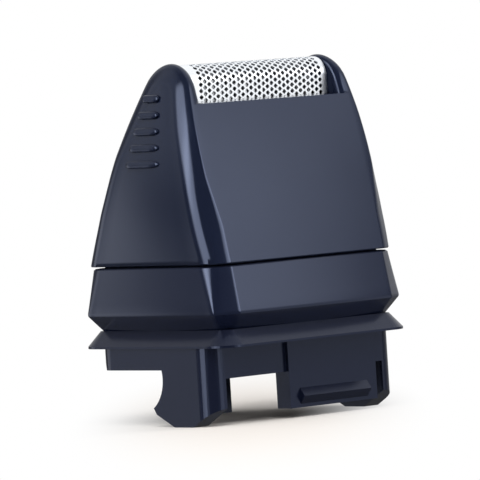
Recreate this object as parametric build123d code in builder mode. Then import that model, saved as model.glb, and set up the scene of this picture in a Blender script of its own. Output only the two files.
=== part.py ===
"""Clip-on foil shaver head: cap with an arched foil, floating cutter, drive bridge and coupling base.

Units are millimetres. X runs along the foil, -Y is the front, +Z is up. The origin is the centre of the
footprint, at the level of the feet of the coupling legs.
"""
import os
from math import atan2, cos, degrees, radians, sin, tan

from build123d import *

os.makedirs("parts", exist_ok=True)

# Heights of the main levels
flange_underside = 8.7
flange_edge_height = 0.25
neck_level = 10.6
widest_level = 12.4
seam_level = 17.75
seam_gap = 0.15
cap_top = 40.0

# Plan outlines: half length, half depth and corner radius
seam_half_length = 14.0
seam_half_depth = 11.4
seam_corner = 2.4
widest_half_length = 14.3
widest_half_depth = 12.4
widest_corner = 3.0
neck_inset = 1.5

# Head of the cap
top_half_length = 12.0
end_bulge = 1.0
apex_y = -2.7
top_radius = 3.9
head_lean = 6.0
shoulder_angle = 24.0
cap_wall = 1.5
corner_cut = 0.9
seam_bevel = 0.13

# Foil, its window and its clamps
foil_recess = 0.2
foil_radius = 2.1
foil_thickness = 0.12
foil_clearance = 0.1
foil_leg = 6.7
window_half_length = 10.5
window_drop = 4.5
clamp_height = 4.2
clamp_clearance = 0.05
hole_columns = 17
hole_rows = 7
hole_diameter = 0.7
hole_margin = 0.9

# Grip ribs on the end faces
rib_count = 5
rib_pitch = 1.8
rib_width = 0.85
rib_rise = 0.25
rib_drop = 3.7
rib_front_y = -2.8
rib_margin = 1.5
rib_margin_step = 0.35

# Base housing
housing_wall = 1.9
rim_height = 1.3
rim_wall = 1.2
rim_clearance = 0.4

# Drive bridge and its rods
rod_radius = 0.8
rod_level = 13.6
rod_seat = 1.0
rod_clearance = 0.15
drive_travel = 1.2
bridge_half_length = 6.0
bridge_height = 3.0
bridge_lip = 0.65
tower_half_length = 5.6
tower_half_depth = 2.4
post_radius = 1.0
post_spacing = 7.4
post_engagement = 3.0
fork_half_length = 2.6
fork_half_depth = 2.2
fork_bottom = 6.6
fork_slot_width = 2.2
fork_slot_height = 4.0
running_clearance = 0.4

# Cutter
carrier_half_length = 8.6
carrier_half_depth = 1.5
carrier_drop = 2.3
carrier_height = 6.4
post_clearance = 0.25
socket_height = 4.4
blade_count = 14
blade_pitch = 1.2
blade_thickness = 0.3
blade_clearance = 0.08
blade_tab_depth = 1.2
blade_tab_half_width = 1.2
blade_slot_clearance = 0.02
blade_shoulder_gap = 0.1

# Cutter springs
spring_space = 6.0
spring_wire = 0.35
spring_turns = 5
spring_clearance = 0.3
spring_end_gap = 0.05

# Coupling skirt, legs and snaps
skirt_half_length = 14.0
skirt_half_depth = 9.4
skirt_corner = 2.2
skirt_wall = 1.6
skirt_level = 6.3
skirt_slant = 1.2
front_wall_level = 5.2
leg_thickness = 2.2
leg_back_y = 0.4
leg_notch_depth = 1.6
leg_notch_level = 4.2
leg_nose_level = 2.1
leg_toe_level = 1.4
foot_back_y = -2.9
foot_front_y = -6.0
leg_chamfer_level = 1.9
snap_left = -2.8
snap_right = 10.4
snap_proud = 0.45
snap_bottom = 1.1
snap_thickness = 2.2
ridge_top = 3.3
ridge_bottom = 1.5
ridge_rise = 0.7
ridge_margin = 1.5
latch_half_width = 4.2
latch_hook = 0.9
latch_hook_level = 2.4

# Screws
screw_x = 10.3
screw_shank_radius = 0.8
screw_head_radius = 1.5
screw_head_height = 1.0
screw_length = 6.0
screw_clearance = 0.05
boss_wall = 1.1
driver_slot_width = 0.4
driver_slot_depth = 0.45

# Values worked out from the driving dimensions
arch_centre = cap_top - top_radius
foil_centre = cap_top - foil_recess - foil_radius
blade_radius = foil_radius - foil_thickness - blade_clearance
front_angle = shoulder_angle - head_lean
rear_angle = shoulder_angle + head_lean
front_shoulder = (
    apex_y - top_radius * cos(radians(front_angle)),
    arch_centre + top_radius * sin(radians(front_angle)),
)
rear_shoulder = (
    apex_y + top_radius * cos(radians(rear_angle)),
    arch_centre + top_radius * sin(radians(rear_angle)),
)
rear_chord_angle = degrees(atan2(seam_half_depth - rear_shoulder[0], rear_shoulder[1] - seam_level))
rear_foot_angle = 2 * rear_chord_angle - rear_angle
base_top = seam_level - seam_gap
window_level = cap_top - window_drop
rib_top_level = cap_top - rib_drop
carrier_top = foil_centre - carrier_drop
carrier_bottom = carrier_top - carrier_height
tower_top = carrier_bottom - spring_space
post_top = carrier_bottom + post_engagement
pocket_half_length = seam_half_length - housing_wall
pocket_half_depth = seam_half_depth - housing_wall
bridge_half_depth = pocket_half_depth + apex_y - running_clearance
rod_offset = bridge_half_depth - bridge_lip - rod_clearance - rod_radius
spring_radius = post_radius + spring_clearance + spring_wire / 2
blade_positions = [(index - (blade_count - 1) / 2) * blade_pitch for index in range(blade_count)]


def head_section(inset=0.0):
    """Arched end view of the cap, moved inwards by an inset, as a face in the YZ plane."""
    with BuildSketch(Plane.YZ) as section:
        with BuildLine():
            Line((seam_half_depth, seam_level), (-seam_half_depth, seam_level))
            TangentArc(
                front_shoulder,
                (-seam_half_depth, seam_level),
                tangent=(-sin(radians(front_angle)), -cos(radians(front_angle))),
            )
            ThreePointArc(front_shoulder, (apex_y, cap_top), rear_shoulder)
            TangentArc(
                rear_shoulder,
                (seam_half_depth, seam_level),
                tangent=(sin(radians(rear_angle)), -cos(radians(rear_angle))),
            )
        make_face()
        if inset:
            offset(amount=-inset, kind=Kind.INTERSECTION)
    return section.sketch


def end_taper(inset=0.0):
    """Front view of the cap's bulging ends, moved inwards by an inset, as a face in the XZ plane."""
    low = seam_half_length - inset
    high = top_half_length - inset
    middle = ((low + high) / 2 + end_bulge, (seam_level + cap_top) / 2)
    with BuildSketch(Plane.XZ) as taper:
        with BuildLine():
            Line((-low, seam_level), (low, seam_level))
            ThreePointArc((low, seam_level), middle, (high, cap_top))
            Line((high, cap_top), (-high, cap_top))
            ThreePointArc((-high, cap_top), (-middle[0], middle[1]), (-low, seam_level))
        make_face()
    return taper.sketch


def outline(half_length, half_depth, corner, level):
    """Rounded rectangle of the base at a height."""
    with BuildSketch(Plane.XY.offset(level)) as plan:
        RectangleRounded(2 * half_length, 2 * half_depth, corner)
    return plan.sketch


def widest_outline(level, inset=0.0):
    """Outline of the band's widest line and of the flange, moved inwards by an inset, at a height."""
    return outline(widest_half_length - inset, widest_half_depth - inset, widest_corner - inset, level)


def seam_outline(level, inset=0.0):
    """Outline of the band at the seam, moved inwards by an inset, at a height."""
    return outline(seam_half_length - inset, seam_half_depth - inset, seam_corner - inset, level)


def arch_rear_y(level):
    """Depth of the cap's rear face at a height, taken along the straight chord of its curve."""
    share = (level - seam_level) / (rear_shoulder[1] - seam_level)
    return seam_half_depth + (rear_shoulder[0] - seam_half_depth) * share


# Hollow of the cap
with BuildPart() as cap_hollow:
    extrude(head_section(cap_wall), amount=2 * seam_half_length, both=True)
    with BuildSketch(Plane.XY.offset(seam_level)):
        Rectangle(2 * (seam_half_length - cap_wall), 2 * (seam_half_depth - cap_wall))
    extrude(amount=cap_wall)
    extrude(end_taper(cap_wall), amount=2 * seam_half_depth, both=True, mode=Mode.INTERSECT)

# Bars across the cap whose ends stand out of the end faces as grip ribs
with BuildPart() as grip_ribs:
    with BuildSketch(Plane.YZ):
        for row in range(rib_count):
            rib_level = rib_top_level - row * rib_pitch
            rib_rear_y = arch_rear_y(rib_level) - rib_margin - row * rib_margin_step
            with Locations(((rib_rear_y + rib_front_y) / 2, rib_level)):
                RectangleRounded(rib_rear_y - rib_front_y, rib_width, rib_width / 3)
    extrude(amount=2 * seam_half_length, both=True)
    extrude(end_taper(-rib_rise), amount=2 * seam_half_depth, both=True, mode=Mode.INTERSECT)

# Foil frame: hollow cap, cut corners, grip ribs and window
with BuildPart() as foil_frame:
    extrude(head_section(), amount=2 * seam_half_length, both=True)
    extrude(end_taper(), amount=2 * seam_half_depth, both=True, mode=Mode.INTERSECT)
    end_faces = foil_frame.faces().sort_by(Axis.X)
    end_edges = end_faces[0].edges() + end_faces[-1].edges()
    chamfer([edge for edge in end_edges if edge.center().Z > seam_level + corner_cut], length=corner_cut)
    chamfer(foil_frame.faces().sort_by(Axis.Z)[0].edges(), length=seam_bevel)
    add(grip_ribs.part)
    add(cap_hollow.part, mode=Mode.SUBTRACT)
    # Window over the foil, with its sill square to the leaning head
    with BuildSketch(Plane.YZ):
        sill_rise = 2 * seam_half_depth * tan(radians(head_lean))
        with BuildLine():
            Polyline(
                (front_shoulder[0] - seam_half_depth, window_level - sill_rise / 2),
                (front_shoulder[0] + seam_half_depth, window_level + sill_rise / 2),
                (front_shoulder[0] + seam_half_depth, 2 * cap_top),
                (front_shoulder[0] - seam_half_depth, 2 * cap_top),
                close=True,
            )
        make_face()
    extrude(amount=window_half_length, both=True, mode=Mode.SUBTRACT)
foil_frame.part.label = "foil_frame"
export_step(foil_frame.part, "parts/foil_frame.step")

# Shaving foil: arch with two straight legs and staggered rows of holes
foil_half_length = window_half_length - foil_clearance
with BuildPart() as shaving_foil:
    with BuildSketch(Plane.YZ):
        for radius, mode in ((foil_radius, Mode.ADD), (foil_radius - foil_thickness, Mode.SUBTRACT)):
            with Locations((apex_y, foil_centre)):
                Circle(radius, mode=mode)
            with Locations((apex_y, foil_centre - foil_leg / 2)):
                Rectangle(2 * radius, foil_leg, mode=mode)
    extrude(amount=foil_half_length, both=True)
    column_pitch = 2 * (foil_half_length - hole_margin) / hole_columns
    for row in range(hole_rows):
        row_angle = 180 * (row + 0.5) / hole_rows
        stagger = 0.25 if row % 2 else -0.25
        row_plane = Plane(
            origin=(stagger * column_pitch, apex_y, foil_centre),
            x_dir=(1, 0, 0),
            z_dir=(0, cos(radians(row_angle)), sin(radians(row_angle))),
        )
        with BuildSketch(row_plane):
            with GridLocations(column_pitch, 1, hole_columns, 1):
                Circle(hole_diameter / 2)
        extrude(amount=2 * foil_radius, mode=Mode.SUBTRACT)
shaving_foil.part.label = "shaving_foil"
export_step(shaving_foil.part, "parts/shaving_foil.step")

# Clamp strips between the foil's legs and the walls of the cap
clamp_level = foil_centre - foil_leg
for side, name in ((-1, "foil_clamp_front"), (1, "foil_clamp_rear")):
    with BuildPart() as foil_clamp:
        extrude(head_section(cap_wall + clamp_clearance), amount=foil_half_length, both=True)
        with BuildSketch(Plane.XY.offset(clamp_level)):
            with Locations((0, apex_y + side * (foil_radius + clamp_clearance))):
                align = Align.MAX if side < 0 else Align.MIN
                Rectangle(2 * foil_half_length, seam_half_depth, align=(Align.CENTER, align))
        extrude(amount=clamp_height, mode=Mode.INTERSECT)
    foil_clamp.part.label = name
    export_step(foil_clamp.part, f"parts/{name}.step")

# Base housing: flared band, rim for the cap, rod seats and screw bosses
rim_half_length = seam_half_length - cap_wall - rim_clearance
rim_lean = rim_height * tan(radians(rear_foot_angle))
rim_half_depth = seam_half_depth - cap_wall - rim_clearance - rim_lean
boss_radius = screw_shank_radius + boss_wall
boss_top = neck_level + screw_length - (neck_level - flange_underside) + boss_wall
with BuildPart() as base_housing:
    loft([widest_outline(widest_level), seam_outline(base_top - seam_bevel)])
    loft([seam_outline(base_top - seam_bevel), seam_outline(base_top, seam_bevel)])
    loft([widest_outline(neck_level, neck_inset), widest_outline(widest_level)])
    rim_outline = outline(rim_half_length, rim_half_depth, rim_wall, widest_level)
    extrude(rim_outline, amount=base_top + rim_height - widest_level)
    with BuildSketch(Plane.XY.offset(neck_level)):
        Rectangle(2 * pocket_half_length, 2 * pocket_half_depth)
    extrude(amount=base_top - housing_wall - neck_level, mode=Mode.SUBTRACT)
    with BuildSketch(Plane.XY.offset(neck_level)):
        Rectangle(2 * (rim_half_length - rim_wall), 2 * (rim_half_depth - rim_wall))
    extrude(amount=base_top + rim_height - neck_level, mode=Mode.SUBTRACT)
    with BuildSketch(Plane.XY.offset(neck_level)):
        for end in (-1, 1):
            with Locations((end * screw_x, apex_y)):
                Circle(boss_radius)
            with Locations((end * (screw_x + pocket_half_length) / 2, apex_y)):
                Rectangle(pocket_half_length - screw_x, 2 * boss_radius)
    extrude(amount=boss_top - neck_level)
    with BuildSketch(Plane.XY.offset(neck_level)):
        with Locations((-screw_x, apex_y), (screw_x, apex_y)):
            Circle(screw_shank_radius + screw_clearance)
    extrude(amount=screw_length, mode=Mode.SUBTRACT)
    with BuildSketch(Plane.YZ):
        with Locations((apex_y - rod_offset, rod_level), (apex_y + rod_offset, rod_level)):
            Circle(rod_radius + screw_clearance)
    extrude(amount=pocket_half_length + rod_seat, both=True, mode=Mode.SUBTRACT)
base_housing.part.label = "base_housing"
export_step(base_housing.part, "parts/base_housing.step")

# Hooked legs of the coupling, cut out of the end walls and front corners of the skirt's outline
with BuildPart() as leg_pair:
    with BuildSketch(Plane.YZ):
        with BuildLine():
            notch_mouth = (leg_back_y, flange_underside)
            notch_low = (leg_back_y, leg_nose_level)
            ThreePointArc(notch_mouth, (leg_back_y - leg_notch_depth, leg_notch_level), notch_low)
            Polyline(
                notch_low,
                (leg_back_y - latch_hook / 2, leg_toe_level),
                (foot_back_y, 0),
                (foot_front_y, 0),
                (-skirt_half_depth, leg_chamfer_level),
                (-skirt_half_depth, flange_underside),
                notch_mouth,
            )
        make_face()
    extrude(amount=skirt_half_length, both=True)
    extrude(
        outline(skirt_half_length, skirt_half_depth, skirt_corner, 0),
        amount=flange_underside,
        mode=Mode.INTERSECT,
    )
    with BuildSketch(Plane.XY):
        Rectangle(2 * (skirt_half_length - leg_thickness), 2 * skirt_half_depth)
    extrude(amount=flange_underside, mode=Mode.SUBTRACT)

# Coupling plate: flange, skirt, two hooked legs, front snap block and rear latch in one moulding
passage_half_length = fork_half_length + drive_travel + running_clearance
passage_half_depth = fork_half_depth + running_clearance
with BuildPart() as coupling_plate:
    flange_rim = flange_underside + flange_edge_height
    extrude(widest_outline(flange_underside), amount=flange_edge_height)
    loft([widest_outline(flange_rim), widest_outline(neck_level, neck_inset)])
    # Skirt with its lower edge stepped up along the front
    extrude(
        outline(skirt_half_length, skirt_half_depth, skirt_corner, skirt_level),
        amount=flange_underside - skirt_level,
    )
    with BuildSketch(Plane.XY.offset(skirt_level)):
        Rectangle(2 * (skirt_half_length - skirt_wall), 2 * (skirt_half_depth - skirt_wall))
    extrude(amount=flange_underside - skirt_level, mode=Mode.SUBTRACT)
    with BuildSketch(Plane.YZ):
        with BuildLine():
            Polyline(
                (skirt_half_depth, flange_underside),
                (skirt_half_depth - skirt_slant, skirt_level),
                (skirt_half_depth, skirt_level),
                close=True,
            )
        make_face()
    extrude(amount=skirt_half_length, both=True, mode=Mode.SUBTRACT)
    with BuildSketch(Plane.XY.offset(front_wall_level)):
        with Locations((0, -skirt_half_depth)):
            Rectangle(2 * (skirt_half_length - leg_thickness), skirt_wall, align=(Align.CENTER, Align.MIN))
    extrude(amount=flange_underside - front_wall_level)
    add(leg_pair.part)
    # Front snap block with its ridge
    with BuildSketch(Plane.YZ.offset(snap_left)):
        snap_face = -skirt_half_depth - snap_proud
        with BuildLine():
            Polyline(
                (snap_face, flange_underside),
                (snap_face, ridge_top),
                (snap_face - ridge_rise, (ridge_top + ridge_bottom) / 2),
                (snap_face, ridge_bottom),
                (snap_face, snap_bottom),
                (snap_face + snap_thickness, snap_bottom),
                (snap_face + snap_thickness, flange_underside),
                close=True,
            )
        make_face()
    extrude(amount=snap_right - snap_left)
    for corner_x in (snap_left, snap_right - ridge_margin):
        with BuildSketch(Plane.YZ.offset(corner_x)):
            with Locations((snap_face, snap_bottom)):
                Rectangle(ridge_rise, flange_underside - snap_bottom, align=(Align.MAX, Align.MIN))
        extrude(amount=ridge_margin, mode=Mode.SUBTRACT)
    # Rear latch with its hook
    with BuildSketch(Plane.YZ):
        with BuildLine():
            Polyline(
                (skirt_half_depth, flange_underside),
                (skirt_half_depth, latch_hook_level),
                (skirt_half_depth + latch_hook, latch_hook_level - latch_hook / 2),
                (skirt_half_depth, 0),
                (skirt_half_depth - skirt_wall, 0),
                (skirt_half_depth - skirt_wall, flange_underside),
                close=True,
            )
        make_face()
    extrude(amount=latch_half_width, both=True)
    # Passage for the fork, and the screw holes
    with BuildSketch(Plane.XY.offset(flange_underside)):
        with Locations((0, apex_y)):
            Rectangle(2 * passage_half_length, 2 * passage_half_depth)
        with Locations((-screw_x, apex_y), (screw_x, apex_y)):
            Circle(screw_shank_radius + screw_clearance)
    extrude(amount=neck_level - flange_underside, mode=Mode.SUBTRACT)
coupling_plate.part.label = "coupling_plate"
export_step(coupling_plate.part, "parts/coupling_plate.step")

# Guide rods for the drive bridge
rod_half_length = pocket_half_length + rod_seat - screw_clearance
for side, name in ((-1, "guide_rod_front"), (1, "guide_rod_rear")):
    with BuildPart() as guide_rod:
        with BuildSketch(Plane.YZ):
            with Locations((apex_y + side * rod_offset, rod_level)):
                Circle(rod_radius)
        extrude(amount=rod_half_length, both=True)
    guide_rod.part.label = name
    export_step(guide_rod.part, f"parts/{name}.step")

# Drive bridge: sliding plate on the rods, tower with two posts, and the fork for the drive pin
bridge_bottom = rod_level - bridge_height / 2
bridge_top = rod_level + bridge_height / 2
post_points = ((-post_spacing / 2, apex_y), (post_spacing / 2, apex_y))
with BuildPart() as drive_bridge:
    with BuildSketch(Plane.XY.offset(bridge_bottom)):
        with Locations((0, apex_y)):
            Rectangle(2 * bridge_half_length, 2 * bridge_half_depth)
    extrude(amount=bridge_height)
    with BuildSketch(Plane.XY.offset(bridge_top)):
        with Locations((0, apex_y)):
            Rectangle(2 * tower_half_length, 2 * tower_half_depth)
    extrude(amount=tower_top - bridge_top)
    with BuildSketch(Plane.XY.offset(tower_top)):
        with Locations(*post_points):
            Circle(post_radius)
    extrude(amount=post_top - tower_top)
    with BuildSketch(Plane.XY.offset(fork_bottom)):
        with Locations((0, apex_y)):
            Rectangle(2 * fork_half_length, 2 * fork_half_depth)
    extrude(amount=bridge_bottom - fork_bottom)
    with BuildSketch(Plane.XY.offset(fork_bottom)):
        with Locations((0, apex_y)):
            Rectangle(fork_slot_width, 2 * fork_half_depth)
    extrude(amount=fork_slot_height, mode=Mode.SUBTRACT)
    with BuildSketch(Plane.YZ):
        with Locations((apex_y - rod_offset, rod_level), (apex_y + rod_offset, rod_level)):
            Circle(rod_radius + rod_clearance)
    extrude(amount=bridge_half_length, both=True, mode=Mode.SUBTRACT)
drive_bridge.part.label = "drive_bridge"
export_step(drive_bridge.part, "parts/drive_bridge.step")

# Cutter carrier: slotted bar with two sockets over the posts
blade_slot_half = blade_thickness / 2 + blade_slot_clearance
with BuildPart() as cutter_carrier:
    with BuildSketch(Plane.XY.offset(carrier_bottom)):
        with Locations((0, apex_y)):
            Rectangle(2 * carrier_half_length, 2 * carrier_half_depth)
    extrude(amount=carrier_top - carrier_bottom)
    with BuildSketch(Plane.XY.offset(carrier_bottom)):
        with Locations(*post_points):
            Circle(post_radius + post_clearance)
    extrude(amount=socket_height, mode=Mode.SUBTRACT)
    with BuildSketch(Plane.XY.offset(carrier_top - blade_tab_depth)):
        for blade_x in blade_positions:
            with Locations((blade_x, apex_y)):
                Rectangle(2 * blade_slot_half, 2 * (blade_tab_half_width + blade_slot_clearance))
    extrude(amount=blade_tab_depth, mode=Mode.SUBTRACT)
cutter_carrier.part.label = "cutter_carrier"
export_step(cutter_carrier.part, "parts/cutter_carrier.step")

# Cutter blades: round-topped plates with a tab in the carrier
blade_shoulder = carrier_top + blade_shoulder_gap
for index, blade_x in enumerate(blade_positions):
    with BuildPart() as cutter_blade:
        with BuildSketch(Plane.YZ.offset(blade_x - blade_thickness / 2)):
            with Locations((apex_y, foil_centre)):
                Circle(blade_radius)
            with Locations((apex_y, blade_shoulder)):
                Rectangle(2 * blade_radius, foil_centre - blade_shoulder, align=(Align.CENTER, Align.MIN))
            with Locations((apex_y, carrier_top - blade_tab_depth + blade_slot_clearance)):
                Rectangle(
                    2 * blade_tab_half_width, blade_tab_depth + blade_radius, align=(Align.CENTER, Align.MIN)
                )
        extrude(amount=blade_thickness)
    name = f"cutter_blade_{index + 1:02d}"
    cutter_blade.part.label = name
    export_step(cutter_blade.part, f"parts/{name}.step")

# Cutter springs around the posts
spring_low = tower_top + spring_end_gap + spring_wire / 2
spring_high = carrier_bottom - spring_end_gap - spring_wire / 2
spring_pitch = (spring_high - spring_low) / spring_turns
for (post_x, post_y), name in zip(post_points, ("cutter_spring_left", "cutter_spring_right")):
    with BuildPart() as cutter_spring:
        with BuildLine() as coil:
            Helix(
                spring_pitch, spring_high - spring_low, spring_radius, center=(post_x, post_y, spring_low)
            )
        with BuildSketch(Plane(origin=coil.line @ 0, z_dir=coil.line % 0)):
            Circle(spring_wire / 2)
        sweep(path=coil.line, is_frenet=True)
    cutter_spring.part.label = name
    export_step(cutter_spring.part, f"parts/{name}.step")

# Screws from below the flange into the bosses of the housing
with BuildPart() as housing_screws:
    with BuildSketch(Plane.XY.offset(flange_underside)):
        with Locations((-screw_x, apex_y), (screw_x, apex_y)):
            Circle(screw_shank_radius)
    extrude(amount=screw_length)
    with BuildSketch(Plane.XY.offset(flange_underside - screw_head_height)):
        with Locations((-screw_x, apex_y), (screw_x, apex_y)):
            Circle(screw_head_radius)
    extrude(amount=screw_head_height)
    with BuildSketch(Plane.XY.offset(flange_underside - screw_head_height)):
        with Locations((-screw_x, apex_y), (screw_x, apex_y)):
            Rectangle(2 * screw_head_radius, driver_slot_width)
            Rectangle(driver_slot_width, 2 * screw_head_radius)
    extrude(amount=driver_slot_depth, mode=Mode.SUBTRACT)
housing_screws.part.label = "housing_screws"
export_step(housing_screws.part, "parts/housing_screws.step")
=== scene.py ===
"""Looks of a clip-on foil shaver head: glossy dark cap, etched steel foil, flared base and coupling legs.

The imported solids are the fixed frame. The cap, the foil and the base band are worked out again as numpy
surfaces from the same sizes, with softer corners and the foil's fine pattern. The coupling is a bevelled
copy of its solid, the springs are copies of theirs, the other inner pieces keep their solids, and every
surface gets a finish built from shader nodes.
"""
import logging
import math
from dataclasses import dataclass, field
from enum import Enum
from typing import Optional

import bmesh
import bpy
import numpy as np
from mathutils import Matrix, Vector


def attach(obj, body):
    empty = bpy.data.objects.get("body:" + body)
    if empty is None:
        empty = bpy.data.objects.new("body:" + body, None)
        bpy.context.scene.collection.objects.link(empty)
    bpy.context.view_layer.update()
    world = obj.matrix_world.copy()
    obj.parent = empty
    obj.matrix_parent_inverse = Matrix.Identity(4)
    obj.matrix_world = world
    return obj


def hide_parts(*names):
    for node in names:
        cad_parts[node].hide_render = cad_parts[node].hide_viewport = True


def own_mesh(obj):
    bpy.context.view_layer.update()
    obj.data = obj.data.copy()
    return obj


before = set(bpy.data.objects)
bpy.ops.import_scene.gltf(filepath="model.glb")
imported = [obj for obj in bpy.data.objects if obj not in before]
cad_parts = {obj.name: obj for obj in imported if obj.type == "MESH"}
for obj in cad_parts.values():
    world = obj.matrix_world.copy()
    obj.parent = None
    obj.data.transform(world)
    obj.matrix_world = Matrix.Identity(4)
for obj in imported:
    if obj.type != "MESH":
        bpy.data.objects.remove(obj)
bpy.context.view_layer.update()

MM = 0.001
log = logging.getLogger("foil_head")


class Body(Enum):
    """Bodies that the redone pieces ride on."""

    BASE = "base"
    CAP = "cap"
    DRIVE = "drive"


class Slot(Enum):
    """Material slots of the record."""

    CAP = "cap_plastic"
    BASE = "base_plastic"
    COUPLING = "coupling_plastic"
    INNER = "inner_plastic"
    FOIL = "foil_steel"
    BLADE = "blade_steel"
    ROD = "rod_steel"
    SPRING = "spring_steel"
    SCREW = "screw_steel"


class End(Enum):
    """The two ends of the head along X."""

    LEFT = -1
    RIGHT = 1


@dataclass(frozen=True)
class HeadShape:
    """Sizes of the head in millimetres and degrees.

    They are the solids' own, except that the cap's top stays just inside theirs. The seam's lift and the
    crowns of the faces belong to the looks alone.
    """

    neck_level: float = 10.6
    widest_level: float = 12.4
    seam_level: float = 17.75
    seam_gap: float = 0.15
    seam_bevel: float = 0.13
    seam_lift: float = 0.08
    cap_top: float = 39.99
    seam_half_length: float = 14.0
    seam_half_depth: float = 11.4
    widest_half_length: float = 14.3
    widest_half_depth: float = 12.4
    neck_inset: float = 1.5
    top_half_length: float = 12.0
    end_bulge: float = 1.0
    apex_y: float = -2.7
    top_radius: float = 3.9
    head_lean: float = 6.0
    shoulder_angle: float = 24.0
    cap_wall: float = 1.5
    end_crown: float = 0.2
    face_crown: float = 0.3
    foil_recess: float = 0.2
    foil_radius: float = 2.1
    foil_thickness: float = 0.12
    foil_clearance: float = 0.1
    foil_leg: float = 6.7
    window_half_length: float = 10.5
    window_drop: float = 4.5

    @property
    def base_top(self) -> float:
        """Level of the base's upper face at the seam."""
        return self.seam_level - self.seam_gap

    @property
    def cap_bottom(self) -> float:
        """Level of the cap's lower edge, a little above its solid's so that the seam reads as a dark line."""
        return self.seam_level + self.seam_lift

    @property
    def foil_centre(self) -> float:
        """Level of the axis of the foil's arch."""
        return self.cap_top - self.foil_recess - self.foil_radius

    @property
    def front_angle(self) -> float:
        """Lean of the front face where it meets the top arc, in radians."""
        return math.radians(self.shoulder_angle - self.head_lean)

    @property
    def rear_angle(self) -> float:
        """Lean of the rear face where it meets the top arc, in radians."""
        return math.radians(self.shoulder_angle + self.head_lean)

    @property
    def front_shoulder(self) -> np.ndarray:
        """Y and Z where the top arc meets the front face."""
        return self.on_top_arc(self.front_angle, -1)

    @property
    def rear_shoulder(self) -> np.ndarray:
        """Y and Z where the top arc meets the rear face."""
        return self.on_top_arc(self.rear_angle, 1)

    def on_top_arc(self, angle: float, side: int) -> np.ndarray:
        """Point of the top arc: its centre plus the radius times the cosine and the sine of an angle.

        Args:
            angle: Angle above the level of the arc's centre, in radians.
            side: Minus one towards the front, one towards the rear.

        Returns:
            Y and Z of the point.
        """
        centre = np.array((self.apex_y, self.cap_top - self.top_radius))
        return centre + self.top_radius * np.array((side * math.cos(angle), math.sin(angle)))

    def end_x(self, level: np.ndarray) -> np.ndarray:
        """Half length of the cap at some heights.

        Each end face follows the circle through its edge at the seam, its bulging middle and its top.

        Args:
            level: Heights in millimetres.

        Returns:
            The half length at each height.
        """
        low = np.array((self.seam_half_length, self.seam_level))
        high = np.array((self.top_half_length, self.cap_top))
        middle = (low + high) / 2 + np.array((self.end_bulge, 0.0))
        sides = 2 * np.stack((middle - low, high - low))
        squares = np.array((middle @ middle - low @ low, high @ high - low @ low))
        centre = np.linalg.solve(sides, squares)
        reach = (low - centre) @ (low - centre)
        return centre[0] + np.sqrt(reach - (level - centre[1]) ** 2)

    def sill_level(self, depth: np.ndarray) -> np.ndarray:
        """Level of the window's sill, which rises towards the rear by the tangent of the head's lean.

        Args:
            depth: Y values in millimetres.

        Returns:
            The level at each depth.
        """
        rise = math.tan(math.radians(self.head_lean))
        return self.cap_top - self.window_drop + (depth - self.front_shoulder[0]) * rise


SHAPE = HeadShape()

# Softening of the corner facets: the shares of both facets that it takes, and the points along each edge.
FIRST_FACET_SHARE = 0.45
SECOND_FACET_SHARE = 0.3
EDGE_POINTS = 7

# Where the points of an outline's side lie between its corners.
SIDE_SHARES = np.array((0.03, 0.2, 0.4, 0.6, 0.8, 0.97))


def tangent_arc(start: np.ndarray, direction: np.ndarray, end: np.ndarray, count: int) -> np.ndarray:
    """Points of the arc that leaves a point in a direction and reaches another.

    Its centre lies square to the direction, and its radius is the square of the chord over twice the
    chord's reach to that side.

    Args:
        start: First point.
        direction: Unit direction at the first point.
        end: Last point.
        count: Number of points.

    Returns:
        One row of two coordinates for each point.
    """
    chord = end - start
    side = np.array((-direction[1], direction[0]))
    radius = chord @ chord / (2.0 * (chord @ side))
    centre = start + radius * side
    first = math.atan2(*(start - centre)[::-1])
    last = math.atan2(*(end - centre)[::-1])
    sweep = (last - first + math.pi) % (2.0 * math.pi) - math.pi
    angles = first + sweep * np.linspace(0.0, 1.0, count)
    return centre + abs(radius) * np.stack((np.cos(angles), np.sin(angles)), axis=1)


def soft_corner(before: np.ndarray, corner: np.ndarray, after: np.ndarray) -> np.ndarray:
    """Smooth turns round corners, each a parabola that touches both sides of its corner.

    At a share t of the way, the start, the corner and the end count by (1 - t) squared, 2t(1 - t) and
    t squared.

    Args:
        before: Points where the turns start, in rows of coordinates.
        corner: The corners that are rounded off.
        after: Points where the turns end.

    Returns:
        An array with the points of the turns along its second axis.
    """
    step = np.linspace(0.0, 1.0, EDGE_POINTS)[None, :, None]
    leaving = before[:, None] * (1 - step) ** 2
    turning = 2 * corner[:, None] * step * (1 - step)
    return leaving + turning + after[:, None] * step ** 2


def facet_corner(sizes: np.ndarray, end_run: float, face_run: float, face_share: float = 0.25) -> np.ndarray:
    """Section of a corner with two facets, each edge between two faces being a parabola that touches both.

    The first facet turns a little from the end face and the second one more, up to the front or rear face.

    Args:
        sizes: For each row, how far the first and the second facet reach: along the face and along the end,
            as four numbers, the first facet's before the second's.
        end_run: Length of the softening on the end face.
        face_run: Length of the softening on the front or rear face.
        face_share: Share of the second facet that this softening takes.

    Returns:
        For each row, points with the distance inwards from the end face and from the other face.
    """
    first_in, first_down, second_in, second_down = sizes.T
    zero = np.zeros_like(first_in)
    end_edge = np.stack((zero, first_down + second_down), axis=1)
    crease = np.stack((first_in, second_down), axis=1)
    face_edge = np.stack((first_in + second_in, zero), axis=1)
    first = FIRST_FACET_SHARE * (crease - end_edge)
    second = face_edge - crease
    along_end = np.array((0.0, end_run))
    along_face = np.array((face_run, 0.0))
    return np.concatenate((
        soft_corner(end_edge + along_end, end_edge, end_edge + first),
        soft_corner(crease - first, crease, crease + SECOND_FACET_SHARE * second),
        soft_corner(face_edge - face_share * second, face_edge, face_edge + along_face),
    ), axis=1)


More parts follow.
